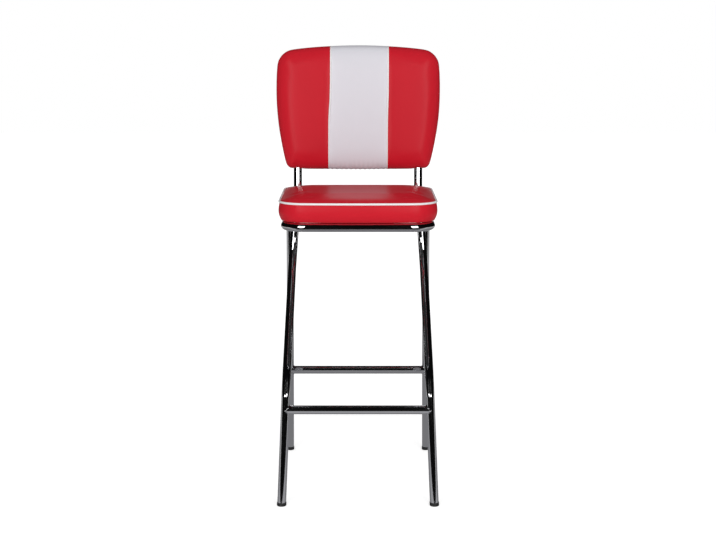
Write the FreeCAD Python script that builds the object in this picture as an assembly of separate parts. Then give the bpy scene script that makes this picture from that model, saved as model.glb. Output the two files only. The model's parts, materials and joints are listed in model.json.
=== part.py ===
import FreeCAD, Part
import math
import os

Vector = FreeCAD.Vector

# Counter stool with a backrest: a welded, chromed tube frame that carries a boxed seat
# cushion and a panelled backrest. Millimetres, +Z up, front towards -Y, floor at Z = 0,
# X = 0 on the plane of symmetry and Y = 0 midway between the front and rear foot caps.

# Tubes
mainTube = 22.2
rearTube = 19.8
mainWall = 1.5
rearWall = 1.5
weldPlug = 2.5

# Footprint, between the tubes' centres at the floor
footWidth = 382.0
footDepth = 482.0

# Front leg and back post, one bent tube: heights of its bends, how far behind the front
# foot each lies and how far in from it
bowHeight = 315.0
bowBack = 52.7
bowIn = 12.5
seatBendHeight = 560.0
seatBendBack = 409.0
seatBendIn = 13.6
postHeight = 748.0
postBack = 424.4
postX = 162.4
postTopHeight = 1060.0
postLean = 5.1
bowRadius = 110.0
seatBendRadius = 120.0
postRadius = 220.0

# Rear leg, where its line meets the ring's height
rearLegTopX = 184.5
rearLegTopBack = 436.0

# Seat ring
ringWidth = 381.0
ringDepth = 448.0
ringHeight = 698.0
ringFrontBack = 15.0
ringFrontRadius = 50.0
ringRearRadius = 30.0
ventHole = 5.0

# Foot rails
railTube = 22.2
railWall = 1.5
frontRailHeight = 236.0
rearRailHeight = 235.0

# Foot caps
capLip = 0.8
capHeight = 9.0
capStem = 24.0
capFit = 0.1
capEdge = 2.0

# Seat mounting tabs and their bolts
tabLength = 70.0
tabReach = 48.0
tabCorner = 12.0
tabFrontBack = 110.0
tabRearBack = 335.0
tabThick = 3.0
tabBelowRingTop = 2.0
boltSize = 6.0
boltClearance = 0.3
boltInset = 32.0
boltHead = 10.0
boltHeadHeight = 3.5
washerSize = 16.0
washerThick = 1.2
teeFlange = 20.0
teeFlangeThick = 1.5
teeBarrel = 8.5
nutRoom = 1.0

# Seat cushion
cushionWidth = 388.0
cushionDepth = 384.0
cushionFrontBack = 14.0
cushionBow = 8.0
cushionFrontRadius = 62.0
cushionRearRadius = 60.0
pipingHeight = 756.0
pipingSize = 5.5
seatCrown = 15.0
bandBulge = 3.5
bandDrawIn = 7.0
boardThick = 12.0
clothInset = 5.0
vinyl = 1.2
clothThick = 0.6
softGap = 0.2
sewGap = 0.01

# Backrest, measured along the posts from its bottom edge
backBottomHeight = 806.0
backTall = 325.0
backWidth = 433.0
backBottomWidth = 380.0
backTopIn = 3.5
backTopBow = 16.0
backSideBow = 14.5
backBottomBow = 3.0
backTopRadius = 46.0
backBottomRadius = 28.0
coreThick = 30.0
coreInset = 3.0
postFit = 0.3
frontPad = 24.0
rearPad = 5.0
seamBehind = 9.0
panelHalf = 77.5
backPiping = 3.4
screwSize = 4.2
screwHead = 9.0
screwHeadHeight = 2.6
screwLength = 16.0
screwLow = 70.0
screwHigh = 190.0
headRoom = 0.5
boreEndRoom = 2.0

sides = {"left": -1.0, "right": 1.0}

# Places that follow from the sizes above
mainR = mainTube / 2
rearR = rearTube / 2
frontRake = math.atan(bowBack / bowHeight)
rearRake = math.atan((footDepth - rearLegTopBack) / ringHeight)
frontCapReach = (mainR + capLip) / math.cos(frontRake)
rearCapReach = (rearR + capLip) / math.cos(rearRake)
frontFootY = (frontCapReach - rearCapReach - footDepth) / 2
ringTop = ringHeight + mainR
tabUnderside = ringTop - tabBelowRingTop - tabThick
boardBottom = ringTop + clothThick
boardTop = boardBottom + boardThick
rearFootY = frontFootY + footDepth
pipingR = pipingSize / 2
cushionBowRadius = (cushionWidth ** 2 / 4 + cushionBow ** 2) / (2 * cushionBow)
postLeanAngle = math.radians(postLean)


# Basic shapes

def rodAlong(path, radius):
    first = path.OrderedEdges[0]
    start = first.valueAt(first.FirstParameter)
    heading = first.tangentAt(first.FirstParameter)
    section = Part.Wire([Part.makeCircle(radius, start, heading)])
    return path.makePipeShell([section], True, False)


def rodBetween(start, end, radius):
    run = end - start
    return Part.makeCylinder(radius, run.Length, start, run)


def biggest(shape):
    return max(shape.Solids, key=lambda solid: solid.Volume)


def slab(low, high, reach=2000.0):
    corner = Vector(-reach, -reach, low)
    return Part.makeBox(2 * reach, 2 * reach, high - low, corner)


def mirrored(shape):
    return shape.mirror(Vector(0, 0, 0), Vector(1, 0, 0))


def placedOn(side, shape):
    return shape if side == "right" else mirrored(shape)


# A rounded four-sided outline that is the same on both sides, with a bowed front
def outline(halfWidth, front, rear, bowRadius, frontRadius, rearRadius, height):
    cornerX = halfWidth - frontRadius
    if bowRadius:
        fall = bowRadius - math.sqrt((bowRadius - frontRadius) ** 2 - cornerX ** 2)
        bowCentre = front + bowRadius
        cornerY = front + fall
        outFrom = Vector(cornerX, cornerY - bowCentre, 0).normalize()
        frontEnd = Vector(cornerX, cornerY, 0) + outFrom * frontRadius
    else:
        cornerY = front + frontRadius
        outFrom = Vector(0, -1, 0)
        frontEnd = Vector(cornerX, front, 0)
    cornerCentre = Vector(cornerX, cornerY, 0)
    sideFront = Vector(halfWidth, cornerY, 0)
    halfway = (outFrom + Vector(1, 0, 0)).normalize()
    frontMiddle = cornerCentre + halfway * frontRadius
    sideRear = Vector(halfWidth, rear - rearRadius, 0)
    rearEnd = Vector(halfWidth - rearRadius, rear, 0)
    diagonal = rearRadius * math.sqrt(0.5)
    rearMiddle = Vector(halfWidth - rearRadius + diagonal, rear - rearRadius + diagonal, 0)

    def other(point):
        return Vector(-point.x, point.y, 0)

    if bowRadius:
        frontEdge = Part.Arc(other(frontEnd), Vector(0, front, 0), frontEnd)
    else:
        frontEdge = Part.LineSegment(other(frontEnd), frontEnd)
    curves = [
        frontEdge,
        Part.Arc(frontEnd, frontMiddle, sideFront),
        Part.LineSegment(sideFront, sideRear),
        Part.Arc(sideRear, rearMiddle, rearEnd),
        Part.LineSegment(rearEnd, other(rearEnd)),
        Part.Arc(other(rearEnd), other(rearMiddle), other(sideRear)),
        Part.LineSegment(other(sideRear), other(sideFront)),
        Part.Arc(other(sideFront), other(frontMiddle), other(frontEnd)),
    ]
    wire = Part.Wire([curve.toShape() for curve in curves])
    wire.translate(Vector(0, 0, height))
    return wire


def plate(wire, thickness, along=Vector(0, 0, 1)):
    return Part.Face(wire).extrude(along * thickness)


# Frame

def bentPath(points, radii):
    # Straight runs joined by tangent arcs, one radius for each inner point
    edges = []
    start = points[0]
    for before, corner, after, radius in zip(points, points[1:], points[2:], radii):
        back = (before - corner).normalize()
        onward = (after - corner).normalize()
        turn = math.pi - back.getAngle(onward)
        reach = radius * math.tan(turn / 2)
        arcStart = corner + back * reach
        arcEnd = corner + onward * reach
        inward = (back + onward).normalize()
        arcMiddle = corner + inward * (radius / math.cos(turn / 2) - radius)
        edges.append(Part.LineSegment(start, arcStart).toShape())
        edges.append(Part.Arc(arcStart, arcMiddle, arcEnd).toShape())
        start = arcEnd
    edges.append(Part.LineSegment(start, points[-1]).toShape())
    return Part.Wire(edges)


def postPoint(height):
    # A point on the right post's centre line
    rise = height - postHeight
    y = frontFootY + postBack + rise * math.tan(postLeanAngle)
    return Vector(postX, y, height)


def frontLegRun():
    # The straight lower run, from the floor to the first bend's corner
    foot = Vector(footWidth / 2, frontFootY, 0)
    bow = Vector(footWidth / 2 - bowIn, frontFootY + bowBack, bowHeight)
    return foot, bow


def rearLegRun():
    foot = Vector(footWidth / 2, rearFootY, 0)
    top = Vector(rearLegTopX, frontFootY + rearLegTopBack, ringHeight)
    return foot, top


def frontLegPath():
    foot, bow = frontLegRun()
    below = foot + (foot - bow).normalize() * mainTube
    bend = Vector(footWidth / 2 - seatBendIn, frontFootY + seatBendBack, seatBendHeight)
    points = [below, bow, bend, postPoint(postHeight), postPoint(postTopHeight)]
    return bentPath(points, [bowRadius, seatBendRadius, postRadius])


def frontLegPost(path):
    tube = rodAlong(path, mainR).cut(rodAlong(path, mainR - mainWall))
    tube = tube.cut(slab(-100, capHeight))
    for height in (screwLow, screwHigh):
        tube = tube.cut(backInPlace(screwShank(height)))
    return biggest(tube)


def rearLegRod(radius):
    # Runs on past both ends, to be cut to length
    foot, top = rearLegRun()
    past = (top - foot).normalize() * mainTube
    return rodBetween(foot - past, top + past, radius)


def rearLeg(ringRod):
    # Coped under the ring and plugged at the top
    foot, top = rearLegRun()
    along = (top - foot).normalize()
    bore = rodBetween(foot - along * rearTube, top - along * (mainR + weldPlug), rearR - rearWall)
    tube = rearLegRod(rearR).cut(bore).cut(ringRod)
    return biggest(tube.common(slab(capHeight, ringHeight)))


def ringPath():
    half = ringWidth / 2 - mainR
    front = frontFootY + ringFrontBack + mainR
    rear = front + ringDepth - mainTube
    return outline(half, front, rear, 0, ringFrontRadius, ringRearRadius, ringHeight)


def seatRing(path, rods):
    ring = rodAlong(path, mainR).cut(rodAlong(path, mainR - mainWall))
    rearY = path.BoundBox.YMax
    vent = Part.makeCylinder(ventHole / 2, mainTube, Vector(0, rearY, ringHeight - mainTube))
    ring = ring.cut(vent)
    for rod in rods:
        ring = ring.cut(rod).cut(mirrored(rod))
    return biggest(ring)


def footRail(point, legs):
    start = Vector(-point.x, point.y, point.z)
    bore = rodBetween(start, point, railTube / 2 - railWall)
    rail = rodBetween(start, point, railTube / 2).cut(bore)
    for leg in legs:
        rail = rail.cut(leg)
    return biggest(rail)


def boltCentres():
    # One under each corner of the seat board, on the tabs' places along the ring's sides
    x = ringWidth / 2 - mainR - boltInset
    centres = []
    for sign in sides.values():
        for back in (tabFrontBack, tabRearBack):
            centres.append(Vector(sign * x, frontFootY + back, 0))
    return centres


def seatTabs(ringRod):
    # Four plates welded to the inside of the ring's side tubes
    tabs = []
    for centre in boltCentres():
        outward = math.copysign(1, centre.x)
        near = Vector(centre.x + outward * boltInset, centre.y, tabUnderside)
        inner = near.x - outward * tabReach
        corner = Vector(min(near.x, inner), near.y - tabLength / 2, tabUnderside)
        tab = Part.makeBox(tabReach, tabLength, tabThick, corner)
        rounded = []
        for edge in tab.Edges:
            middle = edge.CenterOfMass
            upright = edge.BoundBox.ZLength > tabThick / 2
            if upright and abs(middle.x - inner) < tabThick:
                rounded.append(edge)
        tab = tab.makeFillet(tabCorner, rounded).cut(ringRod)
        under = centre + Vector(0, 0, tabUnderside - tabThick)
        hole = Part.makeCylinder(boltSize / 2 + boltClearance, 4 * tabThick, under)
        tabs.append(biggest(tab.cut(hole)))
    return Part.makeCompound(tabs)


# Foot caps: a lip under the tube's end and a stem inside it

def footCap(foot, along, radius, wall):
    lip = rodBetween(foot - along * radius, foot + along * (capHeight * 3), radius + capLip)
    lip = lip.common(slab(0, capHeight))
    rim = [edge for edge in lip.Edges if edge.BoundBox.ZMax < 0.01]
    lip = lip.makeFillet(capEdge, rim)
    stem = rodBetween(foot, foot + along * (capHeight + capStem), radius - wall - capFit)
    return lip.fuse(stem.cut(slab(-100, capHeight / 2))).removeSplitter()


# Seat cushion

def closedSkin(outer, inner, capped):
    # A thin wall between two stacks of outlines, open at the first pair and, when capped,
    # closed over at the last
    faces = Part.makeLoft(outer, False, True).Faces + Part.makeLoft(inner, False, True).Faces
    faces.append(Part.Face([outer[0], inner[0]]))
    if capped:
        faces += [Part.Face(outer[-1]), Part.Face(inner[-1])]
    else:
        faces.append(Part.Face([outer[-1], inner[-1]]))
    solid = Part.Solid(Part.Shell(faces))
    solid.fix(sewGap, sewGap, sewGap)
    return solid


def cushionOutline(inset, height, scale=1.0):
    front = frontFootY + cushionFrontBack
    rear = front + cushionDepth
    wire = outline(
        cushionWidth / 2 - inset, front + inset, rear - inset, cushionBowRadius - inset,
        cushionFrontRadius - inset, cushionRearRadius - inset, 0)
    wire.scale(scale, Vector(0, (front + rear) / 2, 0))
    wire.translate(Vector(0, 0, height))
    return wire


def bandOutlines(inset):
    # The boxed side: drawn in at the board, fullest halfway up, drawn in at the piping
    rise = pipingHeight - pipingR - softGap - boardBottom
    levels = [
        (bandDrawIn, 0),
        (0.15 * bandDrawIn, 0.18),
        (-bandBulge, 0.48),
        (-0.6 * bandBulge, 0.8),
        (0, 1),
    ]
    return [cushionOutline(inset + draw, boardBottom + rise * part) for draw, part in levels]


def crownOutlines(inset, lift):
    # The crowned top: steep beside the piping and flatter towards the middle
    start = (pipingR + softGap) * math.sqrt(0.5)
    levels = [(0, 0, 1), (5, 0.3, 1), (16, 0.58, 1), (34, 0.82, 1), (46, 0.95, 0.72), (46, 1, 0.35)]
    wires = []
    for draw, part, scale in levels:
        height = pipingHeight + start + (seatCrown - start) * part - lift * min(1, part / 0.3)
        wires.append(cushionOutline(start + inset + draw, height, scale))
    return wires


def seatTopCover():
    return closedSkin(crownOutlines(0, 0), crownOutlines(vinyl, vinyl), True)


def seatSideBand():
    return closedSkin(bandOutlines(0), bandOutlines(vinyl), False)


def seatFoam():
    inset = vinyl + softGap
    low = [wire for wire in bandOutlines(inset) if wire.BoundBox.ZMin > boardTop + teeFlangeThick]
    foot = cushionOutline(inset, boardTop + softGap)
    waist = cushionOutline(inset + pipingR, pipingHeight)
    foam = Part.makeLoft([foot] + low + [waist] + crownOutlines(inset + 1, inset), True, True)
    for centre in boltCentres():
        start = centre + Vector(0, 0, boardTop)
        pocket = Part.makeCylinder(teeFlange / 2 + nutRoom, teeFlangeThick + nutRoom, start)
        foam = foam.cut(pocket)
    return foam


def seatBoard():
    board = plate(cushionOutline(bandDrawIn + vinyl + softGap, boardBottom), boardThick)
    for centre in boltCentres():
        start = centre + Vector(0, 0, boardBottom)
        board = board.cut(Part.makeCylinder(teeBarrel / 2, boardThick, start))
    return board


def seatCloth():
    cloth = plate(cushionOutline(bandDrawIn + clothInset, ringTop), clothThick)
    for centre in boltCentres():
        foot = centre + Vector(0, 0, ringTop - 1)
        cloth = cloth.cut(Part.makeCylinder(boltSize / 2 + boltClearance, 3, foot))
    return cloth


def hexPrism(across, height, foot):
    corners = []
    for turn in range(7):
        angle = math.radians(60 * turn)
        reach = across / math.sqrt(3)
        corners.append(foot + Vector(reach * math.cos(angle), reach * math.sin(angle), 0))
    return plate(Part.makePolygon(corners), height)


def seatFixings():
    bolts = []
    washers = []
    teeNuts = []
    barrel = boardThick * 0.75
    for centre in boltCentres():
        seat = centre + Vector(0, 0, tabUnderside - washerThick)
        shank = Part.makeCylinder(boltSize / 2, boardTop - seat.z, seat)
        washers.append(Part.makeCylinder(washerSize / 2, washerThick, seat).cut(shank))
        head = hexPrism(boltHead, boltHeadHeight, seat - Vector(0, 0, boltHeadHeight))
        bolts.append(head.fuse(shank).removeSplitter())
        top = centre + Vector(0, 0, boardTop)
        nut = Part.makeCylinder(teeFlange / 2, teeFlangeThick, top)
        nut = nut.fuse(Part.makeCylinder(teeBarrel / 2, barrel, top - Vector(0, 0, barrel)))
        bore = Part.makeCylinder(boltSize / 2, 2 * boardThick, top - Vector(0, 0, boardThick))
        teeNuts.append(nut.cut(bore).removeSplitter())
    return Part.makeCompound(bolts), Part.makeCompound(washers), Part.makeCompound(teeNuts)


# Backrest. It is built upright, with the posts' line at Y = 0 and its bottom edge at
# Z = 0, then leaned back with the posts and set at its height.

def backInPlace(shape):
    shape = shape.copy()
    shape.rotate(Vector(0, 0, 0), Vector(1, 0, 0), -postLean)
    foot = postPoint(backBottomHeight)
    shape.translate(Vector(0, foot.y, foot.z))
    return shape


def edgeNear(sheet, corner):
    # The edge that runs through the sheet's thickness at a corner of its outline
    def distance(edge):
        middle = edge.CenterOfMass
        return math.hypot(middle.x - corner.x, middle.z - corner.z)
    return min(sheet.Edges, key=distance)


def backOutline(inset):
    halfTop = backWidth / 2 - backTopIn - inset
    halfBottom = backBottomWidth / 2 - inset
    top = backTall - backTopBow - inset
    low = backBottomBow + inset
    midSide = Vector((halfTop + halfBottom) / 2 + backSideBow, 0, (top + low) / 2)
    topRight = Vector(halfTop, 0, top)
    topLeft = Vector(-halfTop, 0, top)
    lowRight = Vector(halfBottom, 0, low)
    lowLeft = Vector(-halfBottom, 0, low)
    curves = [
        Part.Arc(topLeft, Vector(0, 0, top + backTopBow), topRight),
        Part.Arc(topRight, midSide, lowRight),
        Part.Arc(lowRight, Vector(0, 0, low - backBottomBow), lowLeft),
        Part.Arc(lowLeft, Vector(-midSide.x, 0, midSide.z), topLeft),
    ]
    sheet = plate(Part.Wire([curve.toShape() for curve in curves]), coreThick, Vector(0, 1, 0))
    top = [edgeNear(sheet, topLeft), edgeNear(sheet, topRight)]
    sheet = sheet.makeFillet(backTopRadius - inset, top)
    bottom = [edgeNear(sheet, lowLeft), edgeNear(sheet, lowRight)]
    sheet = sheet.makeFillet(backBottomRadius - inset, bottom)
    return min(sheet.Faces, key=lambda side: side.BoundBox.YMax).OuterWire


def backOutlines(inset, forward):
    # The padded form in layers, from the seam round its edge towards the sitter or the rear
    half = coreThick / 2
    if forward:
        sign = -1
        levels = [
            (seamBehind, 1.0),
            (-half, 1.0),
            (-half - 0.4 * frontPad, 0.98),
            (-half - 0.7 * frontPad, 0.94),
            (-half - 0.9 * frontPad, 0.86),
            (-half - frontPad, 0.55),
        ]
    else:
        sign = 1
        levels = [
            (seamBehind, 1.0),
            (half, 0.996),
            (half + 0.7 * rearPad, 0.975),
            (half + rearPad, 0.93),
        ]
    base = backOutline(inset)
    wires = []
    for depth, scale in levels:
        wire = base.copy()
        wire.scale(scale, Vector(0, 0, backTall / 2))
        if depth * sign > half:
            depth -= sign * inset
        wire.translate(Vector(0, depth, 0))
        wires.append(wire)
    return wires


def coreBlock():
    block = backOutline(coreInset)
    block.translate(Vector(0, -coreThick / 2, 0))
    return plate(block, coreThick, Vector(0, 1, 0))


def padBlock(forward):
    # The foam between the core's face and the cover
    half = coreThick / 2 + softGap
    wires = []
    for wire in backOutlines(vinyl + softGap, forward):
        if abs(wire.BoundBox.YMin) > half + 0.5:
            wires.append(wire)
    foot = backOutlines(coreInset, forward)[1]
    depth = -half if forward else half
    foot.translate(Vector(0, depth - foot.BoundBox.YMin, 0))
    return Part.makeLoft([foot] + wires, True, True)


def postBores(radius, depth):
    bores = []
    for sign in sides.values():
        foot = Vector(sign * postX, 0, -backBottomRadius)
        bores.append(Part.makeCylinder(radius, depth + backBottomRadius, foot))
    return bores


def screwShank(height):
    # From the rear of the core, through the post's rear wall
    start = Vector(postX, coreThick / 2, height)
    return Part.makeCylinder(screwSize / 2, screwLength, start, Vector(0, -1, 0))


def backScrews():
    screws = []
    for height in (screwLow, screwHigh):
        start = Vector(postX, coreThick / 2, height)
        head = Part.makeCylinder(screwHead / 2, screwHeadHeight, start, Vector(0, 1, 0))
        screw = head.fuse(screwShank(height)).removeSplitter()
        screws.extend([screw, mirrored(screw)])
    return screws


def between(lowX, highX):
    return Part.makeBox(highX - lowX, 1000, 2000, Vector(lowX, -500, -1000))


def coreWithBores(bores):
    core = coreBlock()
    for bore in bores:
        core = core.cut(bore)
    for screw in backScrews():
        core = core.cut(screw)
    return core


def rearPadding():
    foam = padBlock(False)
    radius = screwHead / 2 + headRoom
    for height in (screwLow, screwHigh):
        start = Vector(postX, coreThick / 2, height)
        pocket = Part.makeCylinder(radius, screwHeadHeight + headRoom, start, Vector(0, 1, 0))
        foam = foam.cut(pocket).cut(mirrored(pocket))
    return foam


def padHollow(forward):
    # The room inside the cover, carried on past its open edge
    wires = backOutlines(vinyl, forward)
    mouth = wires[0].copy()
    mouth.translate(Vector(0, vinyl if forward else -vinyl, 0))
    return Part.makeLoft([mouth] + wires, True, True)


def backrest():
    postTop = (postTopHeight - backBottomHeight) / math.cos(postLeanAngle)
    bores = postBores(mainR + postFit, postTop + boreEndRoom)
    bead = backPiping / 2
    inner = panelHalf - bead
    outer = panelHalf + bead
    hollow = padHollow(True)
    body = Part.makeLoft(backOutlines(0, True), True, True)
    raised = Part.makeLoft(backOutlines(-bead, True), True, True)
    right = body.common(between(outer, backWidth)).cut(hollow).cut(bores[1])
    piping = raised.common(between(inner, outer)).cut(hollow)
    rear = Part.makeLoft(backOutlines(0, False), True, True).cut(padHollow(False))
    parts = {
        "backrest_core": coreWithBores(bores),
        "backrest_front_foam": padBlock(True),
        "backrest_rear_foam": rearPadding(),
        "backrest_rear_cover": rear.cut(bores[0]).cut(bores[1]),
        "backrest_centre_panel": body.common(between(-inner, inner)).cut(hollow),
        "backrest_right_panel": right,
        "backrest_left_panel": mirrored(right),
        "backrest_right_piping": piping,
        "backrest_left_piping": mirrored(piping),
    }
    parts = {name: backInPlace(biggest(shape)) for name, shape in parts.items()}
    parts["backrest_screws"] = backInPlace(Part.makeCompound(backScrews()))
    return parts


def build():
    parts = {}
    ringLine = ringPath()
    ringRod = rodAlong(ringLine, mainR)
    legPath = frontLegPath()
    legRod = rodAlong(legPath, mainR)
    rearRod = rearLegRod(rearR)
    frontFoot, frontBow = frontLegRun()
    rearFoot, rearTop = rearLegRun()
    rightPieces = {
        "front_leg_post": frontLegPost(legPath),
        "rear_leg": rearLeg(ringRod),
        "front_foot_cap": footCap(frontFoot, (frontBow - frontFoot).normalize(), mainR, mainWall),
        "rear_foot_cap": footCap(rearFoot, (rearTop - rearFoot).normalize(), rearR, rearWall),
    }
    for side in sides:
        for name, piece in rightPieces.items():
            parts[f"{side}_{name}"] = placedOn(side, piece)
    frontRail = frontFoot + (frontBow - frontFoot) * (frontRailHeight / bowHeight)
    rearRail = rearFoot + (rearTop - rearFoot) * (rearRailHeight / ringHeight)
    parts["seat_ring"] = seatRing(ringLine, [legRod])
    parts["front_foot_rail"] = footRail(frontRail, [legRod, mirrored(legRod)])
    parts["rear_foot_rail"] = footRail(rearRail, [rearRod, mirrored(rearRod)])
    parts["seat_mounting_tabs"] = seatTabs(ringRod)

    bolts, washers, teeNuts = seatFixings()
    parts["seat_bolts"] = bolts
    parts["seat_bolt_washers"] = washers
    parts["seat_tee_nuts"] = teeNuts
    parts["seat_board"] = seatBoard()
    parts["seat_underside_cloth"] = seatCloth()
    parts["seat_foam"] = seatFoam()
    parts["seat_side_band"] = seatSideBand()
    parts["seat_top_cover"] = seatTopCover()
    parts["seat_piping"] = rodAlong(cushionOutline(0, pipingHeight), pipingR)
    parts.update(backrest())
    return parts


os.makedirs("parts", exist_ok=True)
for name, shape in build().items():
    shape.exportStep(f"parts/{name}.step")
    box = shape.BoundBox
    print(f"{name}: {len(shape.Solids)} solids, {shape.Volume / 1000:.1f} cm3, valid {shape.isValid()}, "
          f"X {box.XMin:.1f} {box.XMax:.1f} Y {box.YMin:.1f} {box.YMax:.1f} Z {box.ZMin:.1f} {box.ZMax:.1f}")
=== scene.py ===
import json
import math
import bpy
import bmesh
from mathutils import Matrix, Vector
from mathutils.bvhtree import BVHTree


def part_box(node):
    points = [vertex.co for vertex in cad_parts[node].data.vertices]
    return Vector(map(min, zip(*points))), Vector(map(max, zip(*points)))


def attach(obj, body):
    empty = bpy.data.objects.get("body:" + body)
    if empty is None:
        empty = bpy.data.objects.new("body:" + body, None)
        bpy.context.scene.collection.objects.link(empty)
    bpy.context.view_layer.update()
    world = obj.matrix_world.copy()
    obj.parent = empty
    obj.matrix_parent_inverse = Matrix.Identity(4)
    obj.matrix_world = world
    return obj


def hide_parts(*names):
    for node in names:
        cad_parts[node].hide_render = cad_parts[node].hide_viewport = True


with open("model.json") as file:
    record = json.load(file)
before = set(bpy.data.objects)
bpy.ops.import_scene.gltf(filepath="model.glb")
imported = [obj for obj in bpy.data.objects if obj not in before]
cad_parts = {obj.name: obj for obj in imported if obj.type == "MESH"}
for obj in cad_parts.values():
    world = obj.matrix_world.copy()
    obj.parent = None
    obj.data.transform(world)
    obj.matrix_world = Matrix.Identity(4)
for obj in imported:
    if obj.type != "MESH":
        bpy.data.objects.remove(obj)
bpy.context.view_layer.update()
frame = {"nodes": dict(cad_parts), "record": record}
scene = bpy.context.scene
print("frame loaded")


# Small helpers

def finishMesh(bm, name):
    bmesh.ops.remove_doubles(bm, verts=bm.verts, dist=1e-6)
    bmesh.ops.recalc_face_normals(bm, faces=bm.faces)
    mesh = bpy.data.meshes.new(name)
    bm.to_mesh(mesh)
    bm.free()
    piece = bpy.data.objects.new(name, mesh)
    scene.collection.objects.link(piece)
    return piece


def smooth(piece):
    piece.data.polygons.foreach_set("use_smooth", [True] * len(piece.data.polygons))
    piece.data.update()


def applyModifiers(piece):
    graph = bpy.context.evaluated_depsgraph_get()
    mesh = bpy.data.meshes.new_from_object(piece.evaluated_get(graph))
    piece.modifiers.clear()
    piece.data = mesh


def remesh(piece, voxel):
    modifier = piece.modifiers.new("remesh", "REMESH")
    modifier.mode = "VOXEL"
    modifier.voxel_size = voxel
    applyModifiers(piece)


def soften(piece):
    modifier = piece.modifiers.new("soften", "SUBSURF")
    modifier.levels = 1
    modifier.render_levels = 1
    smooth(piece)


def moveVertices(piece, change):
    for vertex in piece.data.vertices:
        vertex.co = change(vertex.co)
    piece.data.update()


def fade(value, start, end):
    part = min(1, max(0, (value - start) / (end - start)))
    return part * part * (3 - 2 * part)


def evenOut(piece, rounds, isFree):
    # Takes the small buckles out of a pad's faces and leaves its seams
    bm = bmesh.new()
    bm.from_mesh(piece.data)
    free = [v for v in bm.verts if isFree(v.co)]
    for number in range(rounds):
        bmesh.ops.smooth_vert(bm, verts=free, factor=0.5,
                              use_axis_x=True, use_axis_y=True, use_axis_z=True)
    bm.to_mesh(piece.data)
    bm.free()


clothFrames = 20


def swell(piece, settings, isHeld):
    # A short cloth run under air pressure, held at the seams, with each move capped
    held = piece.vertex_groups.new(name="held")
    held.add([v.index for v in piece.data.vertices if isHeld(v.co)], 1.0, "REPLACE")
    start = [v.co.copy() for v in piece.data.vertices]
    cloth = piece.modifiers.new("swell", "CLOTH")
    cloth.settings.vertex_group_mass = "held"
    cloth.settings.use_pressure = True
    cloth.settings.uniform_pressure_force = settings["pressure"]
    cloth.settings.effector_weights.gravity = 0
    cloth.settings.quality = 5
    for number in range(1, clothFrames + 1):
        scene.frame_set(number)
    applyModifiers(piece)
    scene.frame_set(1)
    for vertex, before in zip(piece.data.vertices, start):
        move = vertex.co - before
        if move.length > settings["most"]:
            vertex.co = before + move.normalized() * settings["most"]
    piece.vertex_groups.clear()


def tubeAlong(name, points, radius, closed):
    curve = bpy.data.curves.new(name, "CURVE")
    curve.dimensions = "3D"
    curve.bevel_depth = radius
    curve.bevel_resolution = 4
    curve.use_fill_caps = not closed
    spline = curve.splines.new("POLY")
    spline.points.add(len(points) - 1)
    for slot, point in zip(spline.points, points):
        slot.co = (point.x, point.y, point.z, 1)
    spline.use_cyclic_u = closed
    rough = bpy.data.objects.new(name + "Line", curve)
    scene.collection.objects.link(rough)
    graph = bpy.context.evaluated_depsgraph_get()
    mesh = bpy.data.meshes.new_from_object(rough.evaluated_get(graph))
    bpy.data.objects.remove(rough)
    piece = bpy.data.objects.new(name, mesh)
    scene.collection.objects.link(piece)
    smooth(piece)
    return piece


# Materials

def buildSurfaceGroup():
    # Slow patches, fine grain and hairline marks, shared by every finish
    group = bpy.data.node_groups.new("surfaceMarks", "ShaderNodeTree")
    for name, value in (("Patch Scale", 6.0), ("Grain Scale", 900.0), ("Line Scale", 60.0)):
        socket = group.interface.new_socket(name, in_out="INPUT", socket_type="NodeSocketFloat")
        socket.default_value = value
    for name in ("Patches", "Grain", "Lines"):
        group.interface.new_socket(name, in_out="OUTPUT", socket_type="NodeSocketFloat")
    nodes = group.nodes
    links = group.links
    given = nodes.new("NodeGroupInput")
    result = nodes.new("NodeGroupOutput")
    place = nodes.new("ShaderNodeTexCoord")
    patches = nodes.new("ShaderNodeTexNoise")
    patches.inputs["Detail"].default_value = 4
    grain = nodes.new("ShaderNodeTexVoronoi")
    stretch = nodes.new("ShaderNodeMapping")
    stretch.inputs["Scale"].default_value = (1, 1, 0.04)
    lines = nodes.new("ShaderNodeTexNoise")
    lines.inputs["Detail"].default_value = 6
    links.new(place.outputs["Object"], patches.inputs["Vector"])
    links.new(place.outputs["Object"], grain.inputs["Vector"])
    links.new(place.outputs["Object"], stretch.inputs["Vector"])
    links.new(stretch.outputs["Vector"], lines.inputs["Vector"])
    links.new(given.outputs["Patch Scale"], patches.inputs["Scale"])
    links.new(given.outputs["Grain Scale"], grain.inputs["Scale"])
    links.new(given.outputs["Line Scale"], lines.inputs["Scale"])
    links.new(patches.outputs["Fac"], result.inputs["Patches"])
    links.new(grain.outputs["Distance"], result.inputs["Grain"])
    links.new(lines.outputs["Fac"], result.inputs["Lines"])
    return group


surfaceMarks = buildSurfaceGroup()


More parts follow.
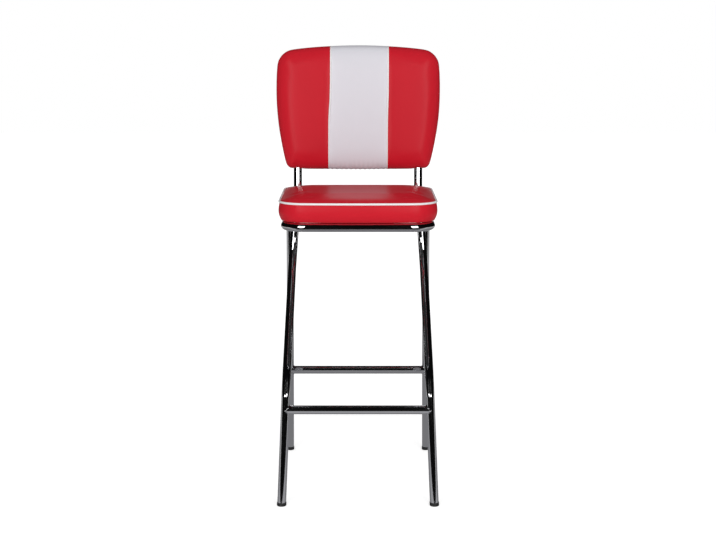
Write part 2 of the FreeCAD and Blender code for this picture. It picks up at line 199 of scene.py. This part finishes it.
def makeFinish(name, settings):
    material = bpy.data.materials.new(name)
    material.use_nodes = True
    nodes = material.node_tree.nodes
    links = material.node_tree.links
    shader = nodes["Principled BSDF"]
    shader.inputs["Metallic"].default_value = settings.get("metallic", 0.0)
    shader.inputs["Sheen Weight"].default_value = settings.get("sheen", 0.0)
    shader.inputs["Specular IOR Level"].default_value = settings.get("specular", 0.5)
    marks = nodes.new("ShaderNodeGroup")
    marks.node_tree = surfaceMarks
    marks.inputs["Patch Scale"].default_value = settings.get("patchScale", 6.0)
    marks.inputs["Grain Scale"].default_value = settings.get("grainScale", 900.0)
    marks.inputs["Line Scale"].default_value = settings.get("lineScale", 60.0)
    shade = nodes.new("ShaderNodeMix")
    shade.data_type = "RGBA"
    shade.inputs["A"].default_value = (*settings["color"], 1)
    shade.inputs["B"].default_value = (*settings["otherColor"], 1)
    links.new(marks.outputs[settings.get("colorFrom", "Patches")], shade.inputs["Factor"])
    links.new(shade.outputs["Result"], shader.inputs["Base Color"])
    rough = nodes.new("ShaderNodeMapRange")
    low, high = settings["roughness"]
    rough.inputs["To Min"].default_value = low
    rough.inputs["To Max"].default_value = high
    links.new(marks.outputs["Patches"], rough.inputs["Value"])
    links.new(rough.outputs["Result"], shader.inputs["Roughness"])
    bump = nodes.new("ShaderNodeBump")
    bump.inputs["Strength"].default_value = settings["bump"]
    bump.inputs["Distance"].default_value = settings.get("bumpDepth", 0.0002)
    links.new(marks.outputs[settings.get("bumpFrom", "Grain")], bump.inputs["Height"])
    links.new(bump.outputs["Normal"], shader.inputs["Normal"])
    return material


finishes = {
    "chrome_tube": {"color": (0.80, 0.80, 0.81), "otherColor": (0.74, 0.74, 0.76), "metallic": 1.0,
                    "roughness": (0.03, 0.09), "bump": 0.02, "bumpDepth": 0.0001, "bumpFrom": "Lines",
                    "lineScale": 40, "patchScale": 9},
    "black_cap_plastic": {"color": (0.010, 0.010, 0.011), "otherColor": (0.019, 0.019, 0.020),
                          "roughness": (0.42, 0.6), "bump": 0.35, "grainScale": 1400, "patchScale": 30},
    "zinc_fixings": {"color": (0.62, 0.63, 0.64), "otherColor": (0.50, 0.51, 0.52), "metallic": 1.0,
                     "roughness": (0.25, 0.45), "bump": 0.1, "patchScale": 120},
    "plywood": {"color": (0.62, 0.45, 0.28), "otherColor": (0.44, 0.29, 0.16), "colorFrom": "Lines",
                "roughness": (0.6, 0.8), "bump": 0.4, "bumpFrom": "Lines", "lineScale": 150},
    "black_cloth": {"color": (0.014, 0.014, 0.014), "otherColor": (0.035, 0.035, 0.035),
                    "colorFrom": "Grain", "roughness": (0.85, 0.98), "bump": 0.6, "grainScale": 1100,
                    "bumpDepth": 0.0003, "sheen": 0.3},
    "foam": {"color": (0.86, 0.80, 0.60), "otherColor": (0.74, 0.66, 0.44),
             "roughness": (0.9, 1.0), "bump": 0.5, "grainScale": 500, "bumpDepth": 0.0006},
    "red_vinyl": {"color": (0.63, 0.014, 0.028), "otherColor": (0.54, 0.010, 0.021),
                  "roughness": (0.29, 0.37), "bump": 0.08, "grainScale": 1300, "patchScale": 5,
                  "specular": 0.12},
    "pale_vinyl": {"color": (0.745, 0.735, 0.785), "otherColor": (0.70, 0.69, 0.74),
                   "roughness": (0.29, 0.37), "bump": 0.08, "grainScale": 1300, "patchScale": 5,
                   "specular": 0.22},
    "white_piping": {"color": (0.88, 0.88, 0.88), "otherColor": (0.82, 0.82, 0.83),
                     "roughness": (0.22, 0.34), "bump": 0.08, "grainScale": 1500, "patchScale": 14},
}
materials = {slot: makeFinish(slot, settings) for slot, settings in finishes.items()}
slotOf = {row["node"]: row["material_slot"] for row in frame["record"]["subparts"]}
for node, slot in slotOf.items():
    body = frame["nodes"][node]
    if body.material_slots:
        for place in body.material_slots:
            place.material = materials[slot]
    else:
        body.data.materials.append(materials[slot])
print("finishes made")


def settle(piece, slot, nodes):
    # Gives a new piece its finish, its body and the CAD nodes that it stands for
    if not piece.data.materials:
        piece.data.materials.append(materials[slot])
    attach(piece, "root")
    if nodes:
        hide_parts(*nodes)


# Seat cushion

seat = {
    "halfWidth": 0.194, "front": -0.2183, "rear": 0.1577, "frontBow": 0.008, "cornerRadius": 0.061,
    "bottom": 0.7094, "seam": 0.7560, "crown": 0.0150, "drawIn": 0.0035, "bulge": 0.0035,
    "drawTop": 0.3, "edgeReach": 0.03, "edgeFade": 0.02, "crownRound": 0.014,
    "rearFall": 0.55, "fallStart": 0.02, "fallEnd": 0.15,
    "voxel": 0.005, "pressure": 3.0, "most": 0.0025, "heldLow": 0.006, "heldSeam": 0.004, "heldIn": 0.012,
    "evenRounds": 5, "evenLow": 0.716, "evenBelow": 0.006, "evenAbove": 0.004, "pipingRadius": 0.00275,
}
seatMiddle = (seat["front"] + seat["rear"]) / 2
seatHalfDepth = (seat["rear"] - seat["front"]) / 2


def seatEdge(x, y):
    # How far a point lies inside the seat's rounded outline
    radius = seat["cornerRadius"]
    outX = abs(x) - (seat["halfWidth"] - radius)
    outY = abs(y - seatMiddle) - (seatHalfDepth - radius)
    beyond = math.hypot(max(outX, 0), max(outY, 0))
    return radius - beyond - min(max(outX, outY), 0)


def bowFront(point):
    # The front edge is bowed towards the sitter
    share = fade(seatMiddle - point.y, 0, seatHalfDepth)
    across = 1 - (point.x / seat["halfWidth"]) ** 2
    return Vector((point.x, point.y - seat["frontBow"] * share * max(0, across), point.z))


def seatProfile(point):
    # The band draws in at its foot and bulges, and the top is crowned and falls at the rear
    inside = seatEdge(point.x, point.y)
    rise = (point.z - seat["bottom"]) / (seat["seam"] - seat["bottom"])
    x, y, z = point
    if rise < 1.02:
        draw = seat["drawIn"] * (1 - fade(rise, 0, seat["drawTop"]))
        draw -= seat["bulge"] * math.sin(math.pi * min(1, max(0, rise)))
        pull = draw * fade(seat["edgeReach"] - inside, 0, seat["edgeFade"])
        middle = Vector((0, seatMiddle))
        away = (Vector((x, y)) - middle).normalized()
        x -= away.x * pull
        y -= away.y * pull
    if rise > 0.5:
        lift = seat["crown"] * (1 - math.exp(-max(0, inside) / seat["crownRound"])) * fade(rise, 0.85, 1)
        z += lift * (1 - seat["rearFall"] * fade(y, seat["fallStart"], seat["fallEnd"]))
    return Vector((x, y, z))


def makeSeat():
    bm = bmesh.new()
    bmesh.ops.create_cube(bm, size=1)
    tall = seat["seam"] - seat["bottom"]
    bmesh.ops.scale(bm, vec=(2 * seat["halfWidth"], 2 * seatHalfDepth, tall), verts=bm.verts)
    upright = [e for e in bm.edges if abs(e.verts[0].co.z - e.verts[1].co.z) > tall / 2]
    bmesh.ops.bevel(bm, geom=upright, offset=seat["cornerRadius"], segments=14, profile=0.5,
                    affect="EDGES", material=-1)
    bmesh.ops.translate(bm, vec=(0, seatMiddle, seat["bottom"] + tall / 2), verts=bm.verts)
    cushion = finishMesh(bm, "seatCushion")
    remesh(cushion, seat["voxel"])
    moveVertices(cushion, seatProfile)
    moveVertices(cushion, bowFront)

    def held(point):
        atEdge = seatEdge(point.x, point.y) < seat["heldIn"]
        nearSeam = abs(point.z - seat["seam"]) < seat["heldSeam"] and atEdge
        return point.z < seat["bottom"] + seat["heldLow"] or nearSeam

    def onFace(point):
        onBand = seat["evenLow"] < point.z < seat["seam"] - seat["evenBelow"]
        return point.z > seat["seam"] + seat["evenAbove"] or onBand

    swell(cushion, seat, held)
    evenOut(cushion, seat["evenRounds"], onFace)
    soften(cushion)
    settle(cushion, "red_vinyl", ["seat_foam", "seat_side_band", "seat_top_cover"])


def seatOutline(height):
    # The rounded outline's points in order round the seat
    bm = bmesh.new()
    bmesh.ops.create_grid(bm, x_segments=1, y_segments=1, size=1)
    bmesh.ops.scale(bm, vec=(seat["halfWidth"], seatHalfDepth, 1), verts=bm.verts)
    bmesh.ops.bevel(bm, geom=bm.verts[:], offset=seat["cornerRadius"], segments=16, profile=0.5,
                    affect="VERTICES", material=-1)
    bmesh.ops.subdivide_edges(bm, edges=[e for e in bm.edges if e.calc_length() > 0.05], cuts=15)
    bmesh.ops.translate(bm, vec=(0, seatMiddle, height), verts=bm.verts)
    face = max(bm.faces, key=lambda each: len(each.verts))
    points = [bowFront(v.co) for v in face.verts]
    bm.free()
    return points


makeSeat()
seatWelt = tubeAlong("seatWelt", seatOutline(seat["seam"]), seat["pipingRadius"], True)
settle(seatWelt, "white_piping", ["seat_piping"])
print("seat made")


# Backrest cushion, made upright at the posts' line and then leaned back

back = {
    "halfTop": 0.2137, "halfBottom": 0.1905, "sideBow": 0.0145, "low": -0.0035, "tall": 0.309,
    "tilt": 0.0008, "topBow": 0.016, "bottomBow": 0.002, "topRadius": 0.037, "bottomRadius": 0.016,
    "front": -0.0150, "rear": 0.0195, "pad": 0.0215, "padRound": 0.0105, "rearRound": 0.006,
    "crown": 0.0025, "seam": 0.009, "voxel": 0.005, "pressure": 3.0, "most": 0.0016,
    "heldSeam": 0.004, "heldRear": 0.003, "evenRounds": 6, "evenFront": -0.016,
    "panelTop": 0.0762, "panelBottom": 0.0775, "panelShift": 0.0040, "lean": 5.1,
    "place": (0, 0.18925, 0.806), "groove": 0.0010, "grooveWidth": 0.004,
    "seamDraw": 0.0009, "seamDrawWidth": 0.003, "gatherPitch": 0.0125, "gather": 0.0014,
    "postX": 0.1624, "notch": 0.0026, "notchWidth": 0.012,
}
backPlace = Matrix.Translation(back["place"]) @ Matrix.Rotation(math.radians(-back["lean"]), 4, "X")


def panelEdge(side, z):
    # Where a seam runs: the cover sits a little towards +X at its top
    share = min(1, max(0, z / (back["tall"] + back["topBow"])))
    half = back["panelBottom"] + (back["panelTop"] - back["panelBottom"]) * share
    return side * half + back["panelShift"] * share


def seamNear(x, z):
    return min(abs(x - panelEdge(side, z)) for side in (-1, 1))


def padFront(point):
    # The front padding: steep beside the outline and nearly flat in the middle
    x, y, z = point
    if y > back["front"] * 0.6:
        return point
    radius = back["topRadius"] if z > back["tall"] / 2 else back["bottomRadius"]
    outX = abs(x) - (back["halfTop"] - radius)
    outZ = abs(z - (back["low"] + back["tall"]) / 2) - ((back["tall"] - back["low"]) / 2 - radius)
    inside = radius - math.hypot(max(outX, 0), max(outZ, 0)) - min(max(outX, outZ), 0)
    return Vector((x, y - back["pad"] * (1 - math.exp(-max(0, inside) / back["padRound"])), z))


def backTaper(point):
    # Narrower at the foot, fullest above the middle, with a bowed top and bottom
    part = (point.z - back["low"]) / (back["tall"] - back["low"])
    part = min(1, max(0, part))
    half = back["halfBottom"] + (back["halfTop"] - back["halfBottom"]) * part
    half += back["sideBow"] * 4 * part * (1 - part)
    across = point.x / back["halfTop"]
    x = across * half + back["tilt"] * part
    z = point.z
    z += back["topBow"] * (1 - across ** 2) * fade(part, 0.3, 1)
    z -= back["bottomBow"] * (1 - across ** 2) * fade(1 - part, 0.6, 1)
    y = point.y
    if y < 0:
        y -= back["crown"] * max(0, 1 - across ** 2) * max(0, 1 - (2 * part - 1) ** 2)
    return Vector((x, y, z))


def backDetail(point):
    # The seams' grooves, the gathers over the bottom edge and the pull round each post
    x, y, z = point
    if y < back["seam"]:
        for side in (-1, 1):  # one row of points lies on each seam, so its colours part cleanly
            if abs(x - panelEdge(side, z)) < back["voxel"] * 0.51:
                x = panelEdge(side, z)
    if y < 0:
        aside = seamNear(x, z) / back["grooveWidth"]
        y += back["groove"] * math.exp(-aside * aside)
    beside = (y - back["seam"]) / back["seamDrawWidth"]
    draw = back["seamDraw"] * math.exp(-beside * beside)
    x -= math.copysign(draw, x) * fade(abs(x), 0.15, 0.19)
    z -= draw * fade(z, 0.28, 0.31)
    low = 1 - fade(z, 0.004, 0.034)
    wave = math.cos(2 * math.pi * x / back["gatherPitch"])
    z += back["gather"] * wave * low * (1 - fade(abs(x), 0.07, 0.1))
    atPost = (abs(x) - back["postX"]) / back["notchWidth"]
    z += back["notch"] * math.exp(-atPost * atPost) * (1 - fade(z, 0.006, 0.02))
    return Vector((x, y, z))


def makeBack():
    bm = bmesh.new()
    bmesh.ops.create_cube(bm, size=1)
    thick = back["rear"] - back["front"]
    high = back["tall"] - back["low"]
    bmesh.ops.scale(bm, vec=(2 * back["halfTop"], thick, high), verts=bm.verts)
    middle = Vector((0, (back["front"] + back["rear"]) / 2, back["low"] + high / 2))
    bmesh.ops.translate(bm, vec=middle, verts=bm.verts)
    for above, radius in ((True, back["topRadius"]), (False, back["bottomRadius"])):
        through = []
        for edge in bm.edges:
            first, second = (v.co for v in edge.verts)
            isThrough = abs(first.y - second.y) > thick / 2
            if isThrough and (first.z > middle.z) == above:
                through.append(edge)
        bmesh.ops.bevel(bm, geom=through, offset=radius, segments=12, profile=0.5,
                        affect="EDGES", material=-1)
    rim = [e for e in bm.edges if all(abs(v.co.y - back["rear"]) < 1e-5 for v in e.verts)]
    bmesh.ops.bevel(bm, geom=rim, offset=back["rearRound"], segments=5, profile=0.5,
                    affect="EDGES", material=-1, clamp_overlap=True)
    cushion = finishMesh(bm, "backrestCushion")
    remesh(cushion, back["voxel"])
    moveVertices(cushion, padFront)
    moveVertices(cushion, backTaper)

    def held(point):
        onPanelSeam = point.y < 0 and seamNear(point.x, point.z) < back["heldSeam"]
        return point.y > back["seam"] - back["heldRear"] or onPanelSeam

    def onFace(point):
        return point.y < back["evenFront"] and seamNear(point.x, point.z) > back["heldSeam"]

    swell(cushion, back, held)
    evenOut(cushion, back["evenRounds"], onFace)
    moveVertices(cushion, backDetail)
    cushion.data.materials.append(materials["red_vinyl"])
    cushion.data.materials.append(materials["pale_vinyl"])
    for face in cushion.data.polygons:
        left, right = (panelEdge(side, face.center.z) for side in (-1, 1))
        inPanel = left < face.center.x < right and face.center.y < back["seam"]
        face.material_index = 1 if inPanel else 0
    moveVertices(cushion, lambda point: backPlace @ point)
    soften(cushion)
    settle(cushion, "red_vinyl", [
        "backrest_front_foam", "backrest_rear_foam", "backrest_rear_cover",
        "backrest_centre_panel", "backrest_left_panel", "backrest_right_panel"])
    return cushion


welt = {"radius": 0.0023, "steps": 160, "middle": 0.163, "reach": 0.5, "proud": 0.0028, "sunk": 0.0017}


def makeBackWelt(name, side, node, cushion):
    # Follows the cushion's front from its bottom edge to its top edge, sunk in at both ends
    tree = BVHTree.FromObject(cushion, bpy.context.evaluated_depsgraph_get())
    points = []
    for step in range(welt["steps"] + 1):
        turn = math.radians(-90 + 180 * step / welt["steps"])
        ray = Vector((0, -math.cos(turn), math.sin(turn)))
        height = back["low"] + (back["tall"] + back["topBow"]) * (0.5 + 0.5 * math.sin(turn))
        centre = Vector((panelEdge(side, height), 0, welt["middle"]))
        start = backPlace @ (centre + ray * welt["reach"])
        heading = (backPlace.to_3x3() @ -ray).normalized()
        hit = tree.ray_cast(start, heading)[0]
        if hit:
            points.append(hit - heading * (welt["proud"] * math.cos(turn) - welt["sunk"]))
    piping = tubeAlong(name, points, welt["radius"], False)
    settle(piping, "white_piping", [node])


backCushion = makeBack()
makeBackWelt("backrestLeftWelt", -1, "backrest_left_piping", backCushion)
makeBackWelt("backrestRightWelt", 1, "backrest_right_piping", backCushion)
print("backrest made")


# Weld beads round the foot rails' ends

weld = {"size": 0.0016, "ripples": 15, "ripple": 0.0003, "railRadius": 0.0111, "steps": 60}


def makeBeads(name, rail, legRadius, legX, lean):
    # A bead round each end of a rail, on the saddle where it meets the round of the leg
    low, high = (Vector(corner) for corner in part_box(rail))
    middleY = (low.y + high.y) / 2
    middleZ = (low.z + high.z) / 2
    bm = bmesh.new()
    for side in (-1, 1):
        turned = Matrix.Translation((0, weld["railRadius"], 0)) @ Matrix.Rotation(math.pi / 2, 4, "Z")
        made = bmesh.ops.create_circle(bm, segments=8, radius=weld["size"], matrix=turned)
        ring = made["verts"]
        edges = list({edge for vertex in ring for edge in vertex.link_edges})
        before = set(bm.verts) - set(ring)
        bmesh.ops.spin(bm, geom=ring + edges, cent=(0, 0, 0), axis=(1, 0, 0), angle=2 * math.pi,
                       steps=weld["steps"], use_merge=True, use_duplicate=False)
        for vertex in set(bm.verts) - before:
            x, y, z = vertex.co
            around = math.atan2(z, y)
            out = math.hypot(y, z) + weld["ripple"] * math.sin(weld["ripples"] * around)
            beside = min(legRadius, abs(weld["railRadius"] * math.cos(around)))
            fromLeg = math.sqrt(legRadius ** 2 - beside ** 2)
            rise = out * math.sin(around)
            alongRail = side * (legX - fromLeg - rise * lean) + x
            vertex.co = Vector((alongRail, middleY + out * math.cos(around), middleZ + rise))
    beads = finishMesh(bm, name)
    smooth(beads)
    settle(beads, "chrome_tube", [])


makeBeads("frontRailWelds", "front_foot_rail", 0.0111, 0.1816, 0.04)
makeBeads("rearRailWelds", "rear_foot_rail", 0.0099, 0.1888, 0.01)
print("welds made")


# Stage: floor, white world, two soft boxes, a fill lamp behind and the cards that the chrome reflects

stage = {
    "floorColor": (0.80, 0.80, 0.80), "worldFill": 0.42, "lampPower": 36, "lampSize": (1.35, 2.0),
    "lampTurn": 23, "lampFar": 3.2, "lampHeight": 1.70, "aim": (0, 0, 0.7),
    "fillPower": 12, "fillSize": 2.4, "fillPlace": (0, 3.2, 2.0),
    "wallShade": 0.003, "farShade": 0.008, "nearShade": 0.36, "stoolShadowShade": 0.22, "nearFront": -0.99,
    "wallFar": 4.2, "wallTop": 4.4, "backGap": 25, "backShade": 0.05, "backLow": 0.95,
    "nearGlow": 0.56, "farGlow": 0.80, "glowStart": 0.5, "glowEnd": 2.5,
}
view = {"sensor": 36, "lens": 72.4, "place": (0, -3.690, 1.189), "tilt": 80.27}


def glowMaterial(name, shade):
    material = bpy.data.materials.new(name)
    material.use_nodes = True
    nodes = material.node_tree.nodes
    nodes.clear()
    glow = nodes.new("ShaderNodeEmission")
    glow.inputs["Color"].default_value = (shade, shade, shade * 1.04, 1)
    result = nodes.new("ShaderNodeOutputMaterial")
    material.node_tree.links.new(glow.outputs[0], result.inputs["Surface"])
    return material


def onlyReflected(card):
    card.visible_camera = False
    card.visible_diffuse = False
    card.visible_shadow = False
    card.visible_transmission = False


def makeFloor():
    bm = bmesh.new()
    bmesh.ops.create_grid(bm, x_segments=1, y_segments=1, size=12)
    floor = finishMesh(bm, "floor")
    material = bpy.data.materials.new("floorSheet")
    material.use_nodes = True
    nodes = material.node_tree.nodes
    links = material.node_tree.links
    shader = nodes["Principled BSDF"]
    shader.inputs["Base Color"].default_value = (*stage["floorColor"], 1)
    shader.inputs["Roughness"].default_value = 0.9
    path = nodes.new("ShaderNodeLightPath")
    place = nodes.new("ShaderNodeTexCoord")
    away = nodes.new("ShaderNodeVectorMath")
    away.operation = "LENGTH"
    glow = nodes.new("ShaderNodeMapRange")
    glow.inputs["From Min"].default_value = stage["glowStart"]
    glow.inputs["From Max"].default_value = stage["glowEnd"]
    glow.inputs["To Min"].default_value = stage["nearGlow"]
    glow.inputs["To Max"].default_value = stage["farGlow"]
    lift = nodes.new("ShaderNodeMath")
    lift.operation = "MULTIPLY"
    shader.inputs["Emission Color"].default_value = (1, 1, 1, 1)
    links.new(place.outputs["Object"], away.inputs[0])
    links.new(away.outputs["Value"], glow.inputs["Value"])
    links.new(glow.outputs["Result"], lift.inputs[1])
    links.new(path.outputs["Is Camera Ray"], lift.inputs[0])
    links.new(lift.outputs[0], shader.inputs["Emission Strength"])
    floor.data.materials.append(material)


def makeSheet(name, shade, low, high):
    # A flat card between two corners, seen only in reflections
    bm = bmesh.new()
    bmesh.ops.create_grid(bm, x_segments=1, y_segments=1, size=0.5)
    span = Vector(high) - Vector(low)
    if span.z > span.y:
        upright = Matrix.Rotation(math.pi / 2, 3, "X")
        bmesh.ops.rotate(bm, verts=bm.verts, cent=(0, 0, 0), matrix=upright)
        bmesh.ops.scale(bm, vec=(span.x, 1, span.z), verts=bm.verts)
    else:
        bmesh.ops.scale(bm, vec=(span.x, span.y, 1), verts=bm.verts)
    bmesh.ops.translate(bm, vec=(Vector(low) + Vector(high)) / 2, verts=bm.verts)
    card = finishMesh(bm, name)
    card.data.materials.append(glowMaterial(name + "Shade", shade))
    onlyReflected(card)


def makeWall(name, shade, start, sweep, low, high):
    # A curved card round the object, from one bearing through a sweep
    bm = bmesh.new()
    foot = bm.verts.new((0, -stage["wallFar"], low))
    top = bm.verts.new((0, -stage["wallFar"], high))
    edge = bm.edges.new((foot, top))
    bearing = Matrix.Rotation(math.radians(start), 3, "Z")
    bmesh.ops.rotate(bm, verts=[foot, top], cent=(0, 0, 0), matrix=bearing)
    bmesh.ops.spin(bm, geom=[foot, top, edge], cent=(0, 0, 0), axis=(0, 0, 1),
                   angle=math.radians(sweep), steps=48, use_merge=False, use_duplicate=False)
    wall = finishMesh(bm, name)
    wall.data.materials.append(glowMaterial(name + "Shade", shade))
    onlyReflected(wall)


def makeCards():
    front = stage["nearFront"]
    top = stage["wallTop"]
    makeSheet("farFloorCard", stage["farShade"], (-4, front - 3.2, 0.002), (4, front, 0.002))
    # The near floor card, seen only in reflections, stands for the lamp-lit floor in front of the stool
    makeSheet("nearFloorCard", stage["nearShade"], (-1.6, front, 0.001), (1.6, -0.26, 0.001))
    # The darker floor card under the stool is a painted shadow of the stool, seen only in reflections
    makeSheet("stoolShadowFloorCard", stage["stoolShadowShade"], (-1.6, -0.26, 0.001), (1.6, 1.4, 0.001))
    makeSheet("ceilingCard", stage["wallShade"], (-4.5, -4.5, top), (4.5, 4.5, top))
    # A dark strip seen only in reflections, so the front legs' bends show no lamp highlight: painted
    # shade on the chrome
    makeSheet("legBendShadeFlag", stage["wallShade"], (-0.34, -0.36, 0.31), (0.34, -0.36, 0.52))
    half = 180 - stage["backGap"]
    makeWall("frontCard", stage["wallShade"], -half, 2 * half, 0, top)
    makeWall("backCard", stage["backShade"], half, 360 - 2 * half, stage["backLow"], top)


def aimLamp(item):
    away = Vector(stage["aim"]) - item.location
    item.rotation_euler = away.to_track_quat("-Z", "Y").to_euler()


def makeLamps():
    for side in (-1, 1):
        turn = math.radians(stage["lampTurn"]) * side
        lamp = bpy.data.lights.new("softBox", "AREA")
        lamp.shape = "RECTANGLE"
        lamp.size, lamp.size_y = stage["lampSize"]
        lamp.energy = stage["lampPower"]
        box = bpy.data.objects.new("softBox", lamp)
        far = stage["lampFar"]
        box.location = (math.sin(turn) * far, -math.cos(turn) * far, stage["lampHeight"])
        aimLamp(box)
        box.visible_camera = False
        scene.collection.objects.link(box)
    lamp = bpy.data.lights.new("backFill", "AREA")
    lamp.size = stage["fillSize"]
    lamp.energy = stage["fillPower"]
    fill = bpy.data.objects.new("backFill", lamp)
    fill.location = stage["fillPlace"]
    aimLamp(fill)
    fill.visible_camera = False
    fill.visible_glossy = False
    scene.collection.objects.link(fill)


def makeWorld():
    world = bpy.data.worlds.new("whiteRoom")
    world.use_nodes = True
    scene.world = world
    nodes = world.node_tree.nodes
    links = world.node_tree.links
    background = nodes["Background"]
    background.inputs["Color"].default_value = (1, 1, 1, 1)
    path = nodes.new("ShaderNodeLightPath")
    total = path.outputs["Is Camera Ray"]
    for name in ("Is Glossy Ray", "Is Transmission Ray"):
        add = nodes.new("ShaderNodeMath")
        add.operation = "ADD"
        add.use_clamp = True
        links.new(total, add.inputs[0])
        links.new(path.outputs[name], add.inputs[1])
        total = add.outputs[0]
    level = nodes.new("ShaderNodeMapRange")
    level.inputs["To Min"].default_value = stage["worldFill"]
    level.inputs["To Max"].default_value = 1.0
    links.new(total, level.inputs["Value"])
    links.new(level.outputs["Result"], background.inputs["Strength"])


def makeCamera():
    lens = bpy.data.cameras.new("camera")
    lens.sensor_fit = "HORIZONTAL"
    lens.sensor_width = view["sensor"]
    lens.lens = view["lens"]
    camera = bpy.data.objects.new("camera", lens)
    camera.location = view["place"]
    camera.rotation_euler = (math.radians(view["tilt"]), 0, 0)
    scene.collection.objects.link(camera)
    scene.camera = camera


makeFloor()
makeCards()
makeLamps()
makeWorld()
makeCamera()
scene.view_settings.view_transform = "Standard"
print("stage made")
